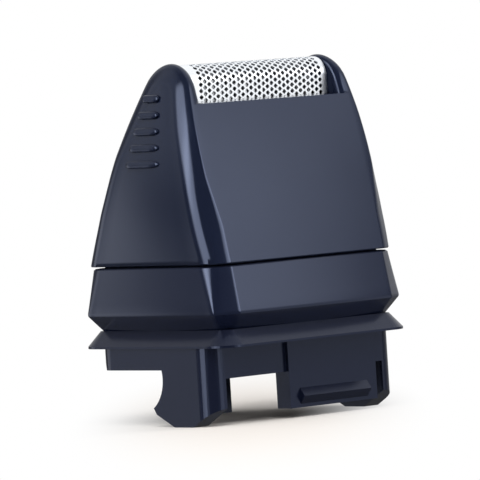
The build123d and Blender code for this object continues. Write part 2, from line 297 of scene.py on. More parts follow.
def faceted_outline(half_length: float, half_depth: float, sizes: tuple, crown: float = 0.0) -> np.ndarray:
    """Rectangle with faceted corners and faintly crowned sides, each side a parabola.

    Args:
        half_length: Half of its size along X.
        half_depth: Half of its size along Y.
        sizes: The facets of its corners, as facet_corner takes them.
        crown: Share of the head's crowns that the sides have.

    Returns:
        One row of X and Y for each point, anticlockwise.
    """
    reach = sizes[0] + sizes[2]
    end_run, face_run, face_share = 0.3 * reach, 0.06 * reach, 0.1
    section = facet_corner(np.array(sizes)[None], end_run, face_run, face_share)[0]
    rise = crown * np.array((SHAPE.end_crown, SHAPE.face_crown))
    first = np.array((half_length, half_depth)) - rise - section
    second = (first * (-1, 1))[::-1]
    loop = np.concatenate((first, second, -first, -second))
    turn = len(first)
    ends = np.arange(turn - 1, 4 * turn, turn)
    share = SIDE_SHARES[None, :, None]
    sides = loop[ends][:, None] * (1 - share) + loop[(ends + 1) % (4 * turn)][:, None] * share
    outward = np.array(((0, 1), (-1, 0), (0, -1), (1, 0)))[:, None]
    sides = sides + outward * rise * 4 * share * (1 - share)
    return np.concatenate((loop.reshape(4, turn, 2), sides), axis=1).reshape(-1, 2)


@dataclass
class Surface:
    """Collects grids of points and the faces between them for one piece."""

    points: list = field(default_factory=list)
    faces: list = field(default_factory=list)
    count: int = 0

    def place(self, points: np.ndarray) -> np.ndarray:
        """Add points.

        Args:
            points: X, Y, Z in millimetres along the last axis.

        Returns:
            The points' indices, in the shape of the grid.
        """
        flat = np.asarray(points, dtype=float).reshape(-1, 3)
        index = np.arange(self.count, self.count + len(flat)).reshape(np.shape(points)[:-1])
        self.points.append(flat)
        self.count += len(flat)
        return index

    def quads(self, index: np.ndarray, wrap: bool = False, keep: Optional[np.ndarray] = None) -> None:
        """Join a grid of points with quads.

        Args:
            index: Indices of the points, in rows and columns.
            wrap: Whether the last column joins the first.
            keep: Which quads to make, in rows and columns. All of them if it isn't given.
        """
        if wrap:
            index = np.concatenate((index, index[:, :1]), axis=1)
        corners = np.stack((index[:-1, :-1], index[:-1, 1:], index[1:, 1:], index[1:, :-1]), axis=-1)
        chosen = corners.reshape(-1, 4) if keep is None else corners[keep]
        self.faces.extend(chosen.tolist())

    def polygon(self, *runs: np.ndarray) -> None:
        """Add one face with many corners.

        Args:
            runs: Runs of indices that follow one another round the face.
        """
        self.faces.append(np.concatenate([np.atleast_1d(run) for run in runs]).tolist())

    def build(self, name: str, sharp: float = 32.0, merge: float = 0.0) -> bpy.types.Object:
        """Make the piece at the origin, with smooth faces and sharp edges.

        Args:
            name: Name of the piece.
            sharp: Angle in degrees above which an edge is sharp.
            merge: Distance in millimetres within which points are joined.

        Returns:
            The new object, linked to the scene.
        """
        mesh = bpy.data.meshes.new(name)
        mesh.from_pydata((np.concatenate(self.points) * MM).tolist(), [], self.faces)
        work = bmesh.new()
        work.from_mesh(mesh)
        if merge:
            bmesh.ops.remove_doubles(work, verts=work.verts, dist=merge * MM)
        bmesh.ops.recalc_face_normals(work, faces=work.faces)
        work.to_mesh(mesh)
        work.free()
        mesh.polygons.foreach_set("use_smooth", np.ones(len(mesh.polygons), dtype=bool))
        mesh.set_sharp_from_angle(angle=math.radians(sharp))
        mesh.update()
        piece = bpy.data.objects.new(name, mesh)
        bpy.context.scene.collection.objects.link(piece)
        return piece


def settle(
    piece: bpy.types.Object, body: Body, slot: Slot, material: bpy.types.Material, *nodes: str
) -> None:
    """Give a finished piece its material and its body, and hide the solids that it stands for.

    Args:
        piece: The finished object.
        body: Body that it rides on.
        slot: Not used.
        material: Its finish.
        nodes: Names of the solids that it replaces.
    """
    piece.data.materials.clear()
    piece.data.materials.append(material)
    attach(piece, body.value)
    if nodes:
        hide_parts(*nodes)
    log.info("built %s with %d faces", piece.name, len(piece.data.polygons))


@dataclass
class CapShell:
    """The glossy cap: arched skin with faceted corners, hollow inside, with a window and grip ribs."""

    material: bpy.types.Material
    facet_levels: tuple = (17.75, 22.0, 25.0, 27.6, 33.4, 38.0)
    facet_sizes: tuple = (
        (0.6, 0.54, 0.48, 0.42, 0.36, 0.28),
        (1.35, 1.25, 1.15, 1.1, 1.2, 1.0),
        (1.5, 1.72, 1.3, 0.85, 0.44, 0.32),
        (0.75, 0.9, 0.95, 0.95, 0.8, 0.6),
    )
    rear_levels: tuple = (17.75, 24.0, 30.0, 39.0)
    rear_shares: tuple = (0.9, 0.58, 0.45, 1.0)
    end_round: float = 0.55
    edge_round: float = 0.3
    turning_height: float = 5.0
    crown_drop: float = 2.0
    crown_run: float = 12.0
    crown_width: float = 13.0
    end_margin: float = 0.15
    end_shares: tuple = (0.0, 0.1, 0.3, 0.5, 0.7, 0.9, 1.0)
    inner_levels: tuple = (36.0, 38.5, 40.0)
    inner_rounds: tuple = (1.1, 0.9, 0.65)
    inner_stretch: float = 0.85
    inner_points: int = 6
    panel_points: int = 11
    sill_steps: tuple = (0.03, 0.34, 0.67, 1.0)
    sill_edge: float = 0.04
    arc_points: int = 900
    front_rows: int = 26
    top_rows: int = 30
    top_start: float = 36.0
    rib_count: int = 5
    rib_pitch: float = 1.8
    rib_width: float = 0.85
    rib_rise: float = 0.3
    rib_drop: float = 3.7
    rib_sunk: float = 0.05
    rib_front: tuple = (-2.57, -3.08)
    rib_back: tuple = (0.11, 2.54)
    rib_back_share: float = 0.16
    rib_taper_start: float = 0.72
    rib_taper_power: float = 1.6
    rib_flank_power: float = 0.7
    rib_rows: int = 22
    rib_turns: int = 11
    surface: Surface = field(default_factory=Surface)

    def face_line(self, shoulder: np.ndarray, angle: float, side: int) -> np.ndarray:
        """Front or rear line of the arch: the face's arc up to the shoulder, then the top arc to the apex.

        Args:
            shoulder: Y and Z where the two arcs meet.
            angle: Lean of the face there, in radians.
            side: Minus one for the front, one for the rear.

        Returns:
            One row of Y and Z for each point, from the seam upwards.
        """
        seam = np.array((side * SHAPE.seam_half_depth, SHAPE.seam_level))
        apex = np.array((SHAPE.apex_y, SHAPE.cap_top))
        upwards = np.array((-side * math.sin(angle), math.cos(angle)))
        face = tangent_arc(shoulder, -upwards, seam, self.arc_points)[::-1]
        top = tangent_arc(shoulder, upwards, apex, self.arc_points)[1:]
        return np.concatenate((face, top))

    def arch(self) -> tuple:
        """Rows of the arch from the front seam over the top to the rear seam, in pairs of the same height.

        The heights are even up to the sill, close at the sill, and spaced by even angles round the top.

        Returns:
            Points and outward directions in Y and Z for each row, and the sill's rows at the front and rear.
        """
        front = self.face_line(SHAPE.front_shoulder, SHAPE.front_angle, -1)
        rear = self.face_line(SHAPE.rear_shoulder, SHAPE.rear_angle, 1)
        sills = [line[np.argmax(line[:, 1] > SHAPE.sill_level(line[:, 0])), 1] for line in (front, rear)]
        turn = np.radians(np.linspace(self.top_start, 90.0, self.top_rows))
        round_top = SHAPE.cap_top - SHAPE.top_radius * (1.0 - np.sin(turn))
        rise = np.linspace(SHAPE.cap_bottom + SHAPE.seam_bevel, sills[0], self.front_rows - 1)
        steps = np.array(self.sill_steps)
        levels = np.concatenate((
            rise[:-1],
            rise[-1:] - self.sill_edge,
            rise[-1:],
            sills[0] + (sills[1] - sills[0]) * steps,
            sills[1] + (round_top[0] - sills[1]) * steps,
            round_top[1:],
        ))
        halves = []
        for line in (front, rear):
            along = np.gradient(line, axis=0)
            along /= np.linalg.norm(along, axis=1, keepdims=True)
            outward = np.stack((-along[:, 1], along[:, 0]), axis=1) * np.sign(SHAPE.apex_y - line[0, 0])
            columns = np.column_stack((line, outward))
            halves.append(np.stack([np.interp(levels, line[:, 1], column) for column in columns.T], axis=1))
        rows = np.concatenate((halves[0], halves[1][-2::-1]))
        outward = rows[:, 2:] / np.linalg.norm(rows[:, 2:], axis=1, keepdims=True)
        first = self.front_rows - 1
        last = len(rows) - 1 - (first + len(steps))
        return rows[:, :2], outward, first, last

    def corner_profile(self, level: np.ndarray) -> np.ndarray:
        """Section of the corner between an end face and the arched face, narrower at the rear.

        The facets' sizes lie on straight lines between those at the named heights.

        Args:
            level: Height of each row, from the front seam over the top to the rear seam.

        Returns:
            For each row, points with the distance inwards from the end face and from the arched face.
        """
        sizes = np.stack([np.interp(level, self.facet_levels, size) for size in self.facet_sizes], axis=1)
        rear = np.arange(len(level)) > len(level) // 2
        narrow = np.where(rear, np.interp(level, self.rear_levels, self.rear_shares), 1.0)
        return facet_corner(sizes * narrow[:, None], self.end_round, self.edge_round)

    def skin(self, points: np.ndarray, outward: np.ndarray, window: tuple) -> np.ndarray:
        """Outer skin from one end face to the other.

        Each row has the corner's section, the inner edge as a parabola and a straight middle. The section
        sinks against the arch's outward direction, but stays level just above the seam, and the row sags
        towards both ends with the square of X.

        Args:
            points: Rows of the arch in Y and Z.
            outward: Outward direction of each row.
            window: First and last row of the window.

        Returns:
            Points in rows and columns.
        """
        level = points[:, 1]
        corner = self.corner_profile(level)
        inwards = corner[:, :, 1]
        depth = points[:, None, 0] - outward[:, None, 0] * inwards
        lean = np.clip((level - SHAPE.cap_bottom) / self.turning_height, 0.0, 1.0)
        height = points[:, None, 1] - (lean * outward[:, 1])[:, None] * inwards
        side = np.stack((SHAPE.end_x(height) - SHAPE.end_crown - corner[:, :, 0], depth, height), axis=-1)
        row = np.arange(len(points))
        inside = np.minimum(row - window[0], window[1] - row)
        wide = np.interp(level, self.inner_levels, self.inner_rounds)[:, None]
        radius = wide[:, 0] * np.clip(inside, 0.0, 1.0)
        step = np.linspace(0.0, 1.0, self.inner_points)[None, :]
        inner_x = SHAPE.window_half_length + self.inner_stretch * wide * (1 - step) ** 2
        sunk = radius[:, None] * step ** 2
        inner = np.stack((inner_x, points[:, None, 0] - outward[:, None, 0] * sunk,
                          points[:, None, 1] - outward[:, None, 1] * sunk), axis=-1)
        half = np.concatenate((side, inner), axis=1)
        across = np.linspace(-1.0, 1.0, self.panel_points)[None, 1:-1] * SHAPE.window_half_length
        middle = np.stack(np.broadcast_arrays(across, points[:, None, 0], points[:, None, 1]), axis=-1)
        left = half * (-1, 1, 1)
        spots = np.concatenate((left, middle, half[:, ::-1]), axis=1)
        fade = np.clip((SHAPE.cap_top - self.crown_drop - level) / self.crown_run, 0.0, 1.0)
        crown = SHAPE.face_crown * fade
        sag = crown[:, None] * (spots[..., 0] / SHAPE.seam_half_length) ** 2
        spots[..., 1] -= outward[:, None, 0] * sag
        return spots

    def bottom_bevel(self, row: np.ndarray, outward: np.ndarray) -> np.ndarray:
        """Lowest row of the skin: the row above it, moved inwards by the bevel, at the cap's lower edge.

        Args:
            row: Points of the row above it.
            outward: Outward direction of that row.

        Returns:
            Points of the lowest row.
        """
        lowest = row.copy()
        edge = np.abs(row[:, 0]) > SHAPE.seam_half_length - self.facet_sizes[0][0]
        lowest[:, 0] -= np.sign(row[:, 0]) * SHAPE.seam_bevel * edge
        lowest[:, 1] -= np.sign(outward[0]) * SHAPE.seam_bevel
        lowest[:, 2] = SHAPE.cap_bottom
        return lowest

    def end_faces(self, grid: np.ndarray, spots: np.ndarray, outward: np.ndarray) -> None:
        """Bulging end faces, each with a narrow band along its edge that keeps its shading even.

        Across the face the bulge is a parabola, and it fades where the face is narrow.

        Args:
            grid: Indices of the skin.
            spots: Points of the skin.
            outward: Outward direction of each row.
        """
        for column in (0, -1):
            edge = spots[1:-1, column]
            sign = np.sign(edge[0, 0])
            ring = edge.copy()
            ring[:, 1:] -= outward * self.end_margin
            ring[:, 2] = np.maximum(ring[:, 2], SHAPE.cap_bottom + 3 * SHAPE.seam_bevel)
            top = len(ring) // 2
            share = np.array(self.end_shares)[None, :, None]
            lines = ring[:top, None] * (1 - share) + ring[:top:-1, None] * share
            width = np.clip((lines[:, -1, 1] - lines[:, 0, 1]) / self.crown_width, 0.0, 1.0)
            bulge = SHAPE.end_crown * width[:, None] * (1 - (2 * share[..., 0] - 1) ** 2)
            lines[..., 0] = sign * (SHAPE.end_x(lines[..., 2]) - SHAPE.end_crown + bulge)
            ring[top, 0] = sign * (SHAPE.end_x(ring[top, 2]) - SHAPE.end_crown)
            index = self.surface.place(lines)
            tip = self.surface.place(ring[top])
            self.surface.quads(index)
            loop = np.concatenate((index[:, 0], np.atleast_1d(tip), index[::-1, -1]))
            self.surface.quads(np.stack((grid[1:-1, column], loop), axis=1))
            self.surface.polygon(index[-1], tip)
            self.surface.polygon(grid[1, column], index[0], grid[-2, column])
            self.surface.polygon(grid[0, column], grid[1, column], grid[-2, column], grid[-1, column])

    def window_columns(self, grid: np.ndarray) -> tuple:
        """Columns of the skin at the window's ends, half the panel's points from its middle column.

        Args:
            grid: Indices of the skin.

        Returns:
            The first and the last column.
        """
        first = grid.shape[1] // 2 - self.panel_points // 2
        return first, grid.shape[1] - 1 - first

    def hollow(self, grid: np.ndarray, points: np.ndarray, outward: np.ndarray, window: tuple) -> None:
        """Inner walls, the lower rim, the sill and the inner faces of the cheeks.

        The inner walls are the arch's rows, sunk by the wall's thickness.

        Args:
            grid: Indices of the skin, with a bevel row at each end.
            points: Rows of the arch in Y and Z.
            outward: Outward direction of each row.
            window: First and last row of the window.
        """
        wall = points - outward * SHAPE.cap_wall
        wall[:, 1] = np.maximum(wall[:, 1], SHAPE.cap_bottom)
        wall[[0, -1], 1] = SHAPE.cap_bottom
        ends = list(window)
        wall[ends, 1] = SHAPE.sill_level(wall[ends, 0])
        sill = SHAPE.cap_top - SHAPE.window_drop
        low_half = SHAPE.seam_half_length - SHAPE.cap_wall
        half = np.interp(wall[:, 1], (SHAPE.cap_bottom, sill), (low_half, SHAPE.window_half_length))
        pair = np.stack((np.column_stack((-half, wall)), np.column_stack((half, wall))), axis=1)
        front = self.surface.place(pair[:window[0] + 1])
        rear = self.surface.place(pair[window[1]:])
        self.surface.quads(front)
        self.surface.quads(rear)
        first, last = self.window_columns(grid)
        top = grid[1 + window[0]:2 + window[1]]
        for column, side in ((first, 0), (last, 1)):
            self.surface.polygon(front[:, side], rear[:, side])
            self.surface.polygon(top[:, column], rear[0, side], front[-1, side])
        self.surface.polygon(top[0, first:last + 1], front[-1, ::-1])
        self.surface.polygon(top[-1, first:last + 1], rear[0, ::-1])
        self.surface.polygon(grid[0], front[0, ::-1])
        self.surface.polygon(grid[-1], rear[-1, ::-1])
        for column, side in ((0, 0), (-1, 1)):
            self.surface.polygon(grid[0, column], grid[-1, column], rear[-1, side], front[0, side])

    def ribs(self) -> None:
        """Shallow grip ribs on both end faces.

        A rib's girth follows a quarter of an ellipse at its back end and a longer curve at its front end, and
        its section is a flattened half circle.
        """
        level = SHAPE.cap_top - self.rib_drop - self.rib_pitch * np.arange(self.rib_count)
        front = np.linspace(*self.rib_front, self.rib_count)
        back = np.linspace(*self.rib_back, self.rib_count)
        along = np.linspace(0.0, 1.0, self.rib_rows)
        back_end = (1 - along / self.rib_back_share).clip(0) ** 2
        taper = (along - self.rib_taper_start) / (1 - self.rib_taper_start)
        front_end = taper.clip(0) ** self.rib_taper_power
        girth = np.sqrt(np.clip(1 - np.maximum(back_end, front_end), 0, 1))
        turn = np.linspace(-math.pi / 2, math.pi / 2, self.rib_turns)
        flank = np.abs(np.sin(turn)) ** self.rib_flank_power
        width = 0.5 * self.rib_width * np.sign(np.sin(turn)) * flank
        rise = self.rib_rise * np.sqrt(np.cos(turn))
        for end in End:
            for row in range(self.rib_count):
                depth = back[row] + (front[row] - back[row]) * along
                height = level[row] + girth[:, None] * width[None, :]
                out = SHAPE.end_x(height) - self.rib_sunk + np.sqrt(girth)[:, None] * rise[None, :]
                depth = np.broadcast_to(depth[:, None], height.shape)
                self.surface.quads(self.surface.place(np.stack((end.value * out, depth, height), axis=-1)))

    def build(self) -> None:
        """Build and dress the cap."""
        points, outward, first, last = self.arch()
        window = (first, last)
        spots = self.skin(points, outward, window)
        spots = np.concatenate((self.bottom_bevel(spots[0], outward[0])[None], spots,
                                self.bottom_bevel(spots[-1], outward[-1])[None]))
        grid = self.surface.place(spots)
        left, right = self.window_columns(grid)
        rows = np.arange(grid.shape[0] - 1)[:, None]
        columns = np.arange(grid.shape[1] - 1)[None, :]
        opening = (rows > first) & (rows <= last) & (columns >= left) & (columns < right)
        self.surface.quads(grid, keep=~opening)
        self.end_faces(grid, spots, outward)
        self.hollow(grid, points, outward, window)
        self.ribs()
        piece = self.surface.build("cap_shell", sharp=40.0)
        settle(piece, Body.CAP, Slot.CAP, self.material, "foil_frame")


@dataclass
class FoilSheet:
    """The arched steel foil with staggered columns of small holes and plain margins."""

    material: bpy.types.Material
    column_step: float = 0.62
    pitch: float = 0.7
    columns: int = 30
    rows: int = 17
    pattern_shift: float = 0.4
    hole_across: float = 0.3
    hole_along: float = 0.28
    hole_power: float = 1.25
    leg_rows: int = 6
    surface: Surface = field(default_factory=Surface)

    def wrap(self, flat: np.ndarray, sunk: float) -> np.ndarray:
        """Bend the flat sheet: round the foil's axis up to a quarter turn, then straight down.

        Args:
            flat: X and the distance along the sheet from the top line.
            sunk: Distance below the outer face.

        Returns:
            X, Y, Z of each point.
        """
        radius = SHAPE.foil_radius
        quarter = radius * math.pi / 2
        distance = flat[..., 1]
        angle = np.clip(distance, -quarter, quarter) / radius
        straight = np.maximum(np.abs(distance) - quarter, 0.0)
        depth = SHAPE.apex_y + (radius - sunk) * np.sin(angle)
        height = SHAPE.foil_centre + (radius - sunk) * np.cos(angle) - straight
        return np.stack((flat[..., 0], depth, height), axis=-1)

    def cell(self) -> tuple:
        """One cell of the pattern: its border and its hole, a rounded diamond.

        On the hole's edge, the powers of X and of the distance along, each over its half size, add up to one.

        Returns:
            Twelve border points and twelve hole points about the cell's centre.
        """
        x, y = self.column_step / 2, self.pitch / 2
        border = np.array((
            (x, -y), (x, -y / 2), (x, 0), (x, y / 2), (x, y), (0, y),
            (-x, y), (-x, y / 2), (-x, 0), (-x, -y / 2), (-x, -y), (0, -y),
        ))
        angle = np.arctan2(border[:, 1], border[:, 0])
        power = self.hole_power
        reach = (np.abs(np.cos(angle) / self.hole_across) ** power
                 + np.abs(np.sin(angle) / self.hole_along) ** power) ** (-1.0 / power)
        return border, np.stack((np.cos(angle), np.sin(angle)), axis=1) * reach[:, None]

    def centres(self) -> np.ndarray:
        """Centres of all the cells on the flat sheet, with every other column half a pitch along.

        Returns:
            One row of X and the distance along the sheet for each cell.
        """
        across = (np.arange(self.columns) - (self.columns - 1) / 2) * self.column_step + self.pattern_shift
        along = (np.arange(self.rows) - (self.rows - 1) / 2) * self.pitch
        columns = ((across[0::2], along), (across[1::2], along[:-1] + self.pitch / 2))
        grids = [np.stack(np.meshgrid(x, s, indexing="ij"), axis=-1) for x, s in columns]
        return np.concatenate([grid.reshape(-1, 2) for grid in grids])

    def plain_strips(self) -> list:
        """Flat grids of the plain parts: both margins, both legs and the half cells of the odd columns.

        Returns:
            For each part, a grid of X and the distance along the sheet.
        """
        start = self.pattern_shift - self.columns * self.column_step / 2
        end = self.pattern_shift + self.columns * self.column_step / 2
        reach = self.rows * self.pitch / 2
        edge = SHAPE.window_half_length - SHAPE.foil_clearance
        foot = SHAPE.foil_radius * math.pi / 2 + SHAPE.foil_leg
        fine = np.linspace(-reach, reach, 4 * self.rows + 1)
        lines = np.linspace(start, end, 2 * self.columns + 1)
        lines = np.concatenate(([-edge], lines, [edge]))
        grids = [(np.array((-edge, start)), fine), (np.array((end, edge)), fine)]
        leg = np.linspace(reach, foot, self.leg_rows)
        grids += [(lines, leg), (lines, -leg[::-1])]
        odd = start + self.column_step * (np.arange(1, self.columns, 2)[:, None] + np.array((0.0, 0.5, 1.0)))
        step = self.pitch / 4
        for line in odd:
            grids.append((line, np.linspace(reach - 2 * step, reach, 3)))
            grids.append((line, np.linspace(-reach, 2 * step - reach, 3)))
        return [np.stack(np.meshgrid(x, s, indexing="ij"), axis=-1) for x, s in grids]

    def build(self) -> None:
        """Build and dress the foil: an outer and an inner sheet, joined by the walls of the holes."""
        border, hole = self.cell()
        count = len(border)
        cells = self.centres()[:, None] + np.concatenate((border, hole))[None]
        rings = []
        for sunk in (0.0, SHAPE.foil_thickness):
            index = self.surface.place(self.wrap(cells, sunk))
            edge, rim = index[:, :count], index[:, count:]
            corners = np.stack((edge, np.roll(edge, -1, 1), np.roll(rim, -1, 1), rim), axis=-1)
            self.surface.faces.extend(corners.reshape(-1, 4).tolist())
            rings.append(rim)
            for strip in self.plain_strips():
                self.surface.quads(self.surface.place(self.wrap(strip, sunk)))
        outer, inner = rings
        walls = np.stack((outer, np.roll(outer, -1, 1), np.roll(inner, -1, 1), inner), axis=-1)
        self.surface.faces.extend(walls.reshape(-1, 4).tolist())
        piece = self.surface.build("foil_sheet", sharp=40.0, merge=0.002)
        settle(piece, Body.CAP, Slot.FOIL, self.material, "shaving_foil")


@dataclass
class BaseBand:
    """The flared band under the seam, the rim that the cap sits over, in a dark dull finish that paints shade
    into the seam's gap, and the screw bosses inside.
    """

    material: bpy.types.Material
    seam_shade_material: bpy.types.Material
    wall: float = 1.9
    rim_height: float = 1.3
    rim_inset: float = 1.9
    rim_lean: float = 0.63
    rim_wall: float = 1.2
    inner_facets: tuple = (0.05, 0.1, 0.1, 0.05)
    rim_facets: tuple = (0.2, 0.4, 0.4, 0.2)
    seam_facets: tuple = (0.6, 1.35, 1.8, 0.95)
    widest_facets: tuple = (0.15, 0.35, 2.5, 1.35)
    neck_facet_loss: float = 0.4
    flare_shares: tuple = (0.04, 0.25, 0.5, 0.75, 0.94)
    neck_shares: tuple = (0.05, 0.16, 0.5, 0.96, 1.0)
    edge_inset: float = 0.03
    edge_rise: float = 0.08
    boss_x: float = 10.3
    boss_radius: float = 1.9
    boss_top: float = 15.8
    boss_points: int = 32
    ledge_inset: float = 0.9
    ledge_height: float = 0.17
    seam_row: int = 8
    surface: Surface = field(default_factory=Surface)
    rim_surface: Surface = field(default_factory=Surface)

    def rows(self) -> list:
        """Closed outlines from the pocket over the rim and down the outside to the neck.

        From the seam to the widest edge, and from there to the neck, every size changes evenly with height.

        Returns:
            Half length, half depth, the four facet sizes of the corners, the crown and the level of each row.
        """
        length, depth = SHAPE.seam_half_length, SHAPE.seam_half_depth
        sharp = (*self.inner_facets, 0.0)
        pocket = (length - self.wall, depth - self.wall, *sharp)
        rim = (length - self.rim_inset, depth - self.rim_inset - self.rim_lean, *self.rim_facets, 0.0)
        inner = (rim[0] - self.rim_wall, rim[1] - self.rim_wall, *sharp)
        widest = np.array((SHAPE.widest_half_length, SHAPE.widest_half_depth, *self.widest_facets, 1.0))
        seam = np.array((length, depth, *self.seam_facets, 1.0))
        ledge = (length - self.ledge_inset, depth - self.ledge_inset, *self.seam_facets, 1.0)
        edge = np.array((1.0, 1.0, 0.0, 0.0, 0.0, 0.0, 0.0))
        bevel = SHAPE.seam_bevel * edge
        narrow = SHAPE.neck_inset * edge
        narrow[2:6] = self.neck_facet_loss * widest[2:6]
        rim_top = SHAPE.base_top + self.rim_height
        edge_low = SHAPE.base_top - SHAPE.seam_bevel
        rows = [
            (*pocket, SHAPE.neck_level), (*pocket, SHAPE.base_top - self.wall),
            (*inner, SHAPE.base_top - self.wall), (*inner, rim_top), (*rim, rim_top),
            (*rim, SHAPE.base_top + self.ledge_height),
            (*ledge, SHAPE.base_top + self.ledge_height), (*ledge, SHAPE.base_top),
            (*(seam - bevel), SHAPE.base_top), (*seam, edge_low),
        ]
        fall = edge_low - SHAPE.widest_level
        for share in self.flare_shares:
            rows.append((*(seam + (widest - seam) * share), edge_low - fall * share))
        rows.append((*(widest - self.edge_inset * edge), SHAPE.widest_level + self.edge_rise))
        neck_fall = SHAPE.widest_level - SHAPE.neck_level
        for share in self.neck_shares:
            rows.append((*(widest - narrow * share), SHAPE.widest_level - neck_fall * share))
        return rows

    def bosses(self) -> None:
        """Round bosses for the screws, inside the pocket: circles at two levels, closed at the top."""
        angle = np.linspace(0.0, 2 * math.pi, self.boss_points + 1)[:-1]
        circle = np.stack((np.cos(angle), np.sin(angle)), axis=1) * self.boss_radius
        for end in End:
            centre = np.array((end.value * self.boss_x, SHAPE.apex_y))
            rings = [np.column_stack((circle + centre, np.full(self.boss_points, level)))
                     for level in (SHAPE.neck_level, self.boss_top)]
            index = self.surface.place(np.stack(rings))
            self.surface.quads(index, wrap=True)
            self.surface.polygon(index[1])

    def build(self) -> None:
        """Build and dress the band, and the rim behind the seam in its dark dull finish of painted shade."""
        loops = []
        for half_length, half_depth, *facets, crown, level in self.rows():
            loop = faceted_outline(half_length, half_depth, facets, crown)
            loops.append(np.column_stack((loop, np.full(len(loop), level))))
        rows = np.stack(loops)
        index = self.surface.place(np.concatenate((rows[self.seam_row:], rows[:2])))
        self.surface.quads(index, wrap=True)
        self.bosses()
        piece = self.surface.build("base_band", sharp=24.0)
        settle(piece, Body.BASE, Slot.BASE, self.material, "base_housing")
        self.rim_surface.quads(self.rim_surface.place(rows[1:self.seam_row + 1]), wrap=True)
        rim = self.rim_surface.build("seam_rim", sharp=24.0)
        settle(rim, Body.BASE, Slot.BASE, self.seam_shade_material)


@dataclass
class CouplingBase:
    """Flange, skirt, hooked legs and snaps: a copy of the solid with its edges softened."""

    material: bpy.types.Material
    edge: float = 0.1
    edge_angle: float = 13.0
    flat_angle: float = 0.3
    merge: float = 0.004
    node: str = "coupling_plate"

    def build(self) -> None:
        """Build and dress the coupling: triangles of one plane become one face, and edges are bevelled."""
        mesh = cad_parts[self.node].data.copy()
        mesh.name = "coupling_base"
        work = bmesh.new()
        work.from_mesh(mesh)
        bmesh.ops.remove_doubles(work, verts=work.verts, dist=self.merge * MM)
        flat = math.radians(self.flat_angle)
        bmesh.ops.dissolve_limit(work, angle_limit=flat, verts=work.verts, edges=work.edges)
        work.to_mesh(mesh)
        work.free()
        mesh.polygons.foreach_set("use_smooth", np.zeros(len(mesh.polygons), dtype=bool))
        piece = bpy.data.objects.new("coupling_base", mesh)
        bpy.context.scene.collection.objects.link(piece)
        bevel = piece.modifiers.new("soft_edges", "BEVEL")
        bevel.width = self.edge * MM
        bevel.segments = 2
        bevel.limit_method = "ANGLE"
        bevel.angle_limit = math.radians(self.edge_angle)
        bevel.use_clamp_overlap = True
        settle(piece, Body.BASE, Slot.COUPLING, self.material, self.node)


@dataclass
class CutterSprings:
    """The coil springs under the cutter: copies of the solids."""

    material: bpy.types.Material
    travel: float = 0.8
    joint: str = "cutter_float"

    def build(self) -> None:
        """Build each spring as a copy of its solid."""
        for name in [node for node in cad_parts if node.startswith("cutter_spring")]:
            piece = bpy.data.objects.new(name + "_coil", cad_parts[name].data.copy())
            bpy.context.scene.collection.objects.link(piece)
            settle(piece, Body.DRIVE, Slot.SPRING, self.material, name)
            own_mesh(piece)


@dataclass
class InnerWorks:
    """Cutter, drive and fixings: the solids themselves, each with its finish."""

    plastic: bpy.types.Material
    blade: bpy.types.Material
    rod: bpy.types.Material
    screw: bpy.types.Material

    def finish_of(self, name: str) -> tuple:
        """Finish and slot of an inner solid.

        Args:
            name: Name of the solid.

        Returns:
            Its material and its slot.
        """
        finishes = {
            "cutter_blade": (self.blade, Slot.BLADE),
            "guide_rod": (self.rod, Slot.ROD),
            "housing_screws": (self.screw, Slot.SCREW),
        }
        for start, finish in finishes.items():
            if name.startswith(start):
                return finish
        return self.plastic, Slot.INNER

    def build(self) -> None:
        """Dress every solid that is still shown."""
        for name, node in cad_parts.items():
            if node.hide_render:
                continue
            material, slot = self.finish_of(name)
            node.data.materials.clear()
            node.data.materials.append(material)
            log.info("dressed %s with %s", name, material.name)


@dataclass
class Wiring:
    """Adds and joins the nodes of one node tree."""

    tree: bpy.types.NodeTree

    def add(self, kind: str, settings: Optional[dict] = None, **values: object) -> bpy.types.Node:
        """Add a node.

        Args:
            kind: Type of the node.
            settings: Properties of the node.
            values: Fixed values of its inputs, by the input's name with underscores for spaces.

        Returns:
            The new node.
        """
        node = self.tree.nodes.new(kind)
        for name, value in (settings or {}).items():
            setattr(node, name, value)
        for name, value in values.items():
            node.inputs[name.replace("_", " ")].default_value = value
        return node

    def join(self, source: bpy.types.NodeSocket, target: bpy.types.NodeSocket) -> None:
        """Join an output to an input.

        Args:
            source: The output.
            target: The input.
        """
        self.tree.links.new(source, target)

    def combine(self, kind: str, first: object, second: object) -> bpy.types.NodeSocket:
        """Combine two numbers, each an output or a fixed value.

        Args:
            kind: Operation of the math node.
            first: First number.
            second: Second number.

        Returns:
            The result.
        """
        node = self.add("ShaderNodeMath", {"operation": kind})
        for socket, value in zip(node.inputs, (first, second)):
            if isinstance(value, bpy.types.NodeSocket):
                self.join(value, socket)
            else:
                socket.default_value = value
        return node.outputs[0]


class Effect(Enum):
    """Surface effects that several finishes share."""

    MOULDED = "moulded_skin"
    DUST = "settled_dust"
    DRAWN = "drawn_metal"


